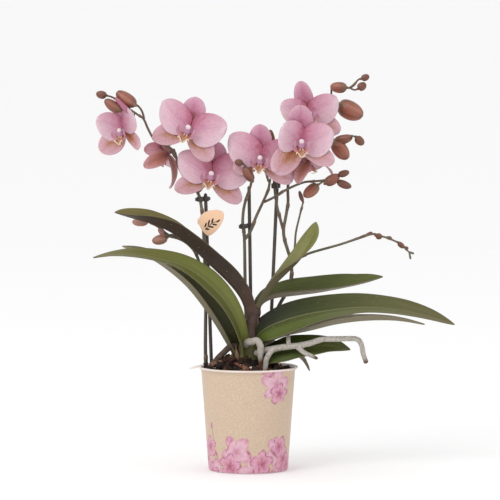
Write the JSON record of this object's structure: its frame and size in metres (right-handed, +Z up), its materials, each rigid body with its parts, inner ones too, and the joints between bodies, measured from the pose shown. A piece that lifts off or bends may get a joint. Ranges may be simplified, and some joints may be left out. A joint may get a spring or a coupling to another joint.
{
  "type": "potted orchid",
  "caption": "Small pink moth orchid in a printed nursery pot, with strap leaves, flower spikes tied to stakes, open flowers, buds and aerial roots.",
  "frame": {"origin": "centre of the pot's flat base", "axes": "+Z up along the pot's axis, +X to the right as the plant faces the viewer, who looks along +Y"},
  "size_m": [0.3244, 0.0931, 0.3578],
  "materials": {
    "printed_plastic": "satin, printed with a pink flower design",
    "bark": "rough, dry",
    "leaf": "waxy",
    "crown": "satin",
    "root": "matt, spongy",
    "stalk": "satin",
    "petal": "soft, slightly translucent",
    "lip": "waxy",
    "stake": "satin",
    "clip": "satin",
    "tag": "matt, coated"
  },
  "bodies": {
    "root": {"pot": "printed_plastic", "crown": "crown", "root_thick": "root", "root_long": "root", "root_left": "root", "leaf_left_top": "leaf", "leaf_left_front": "leaf", "leaf_left_low": "leaf", "leaf_right_top": "leaf", "leaf_right_front": "leaf", "leaf_right_low": "leaf", "leaf_right_short": "leaf", "leaf_right_back": "leaf", "leaf_young": "leaf", "spike_left": "stalk", "spike_middle": "stalk", "spike_right": "stalk", "stake_left": "stake", "stake_middle": "stake", "stake_right": "stake", "clip_left": "clip", "clip_middle": "clip", "clip_right": "clip", "bloom_left_top": "petal", "lip_left_top": "lip", "bloom_left_low": "petal", "lip_left_low": "lip", "bloom_left_tip": "petal", "lip_left_tip": "lip", "bloom_left_back": "petal", "lip_left_back": "lip", "bloom_middle": "petal", "lip_middle": "lip", "bloom_right_front": "petal", "lip_right_front": "lip", "bloom_right_top": "petal", "lip_right_top": "lip", "bloom_right_under": "petal", "lip_right_under": "lip", "tag": "tag", "bark_mix": "bark"}
  },
  "joints": []
}
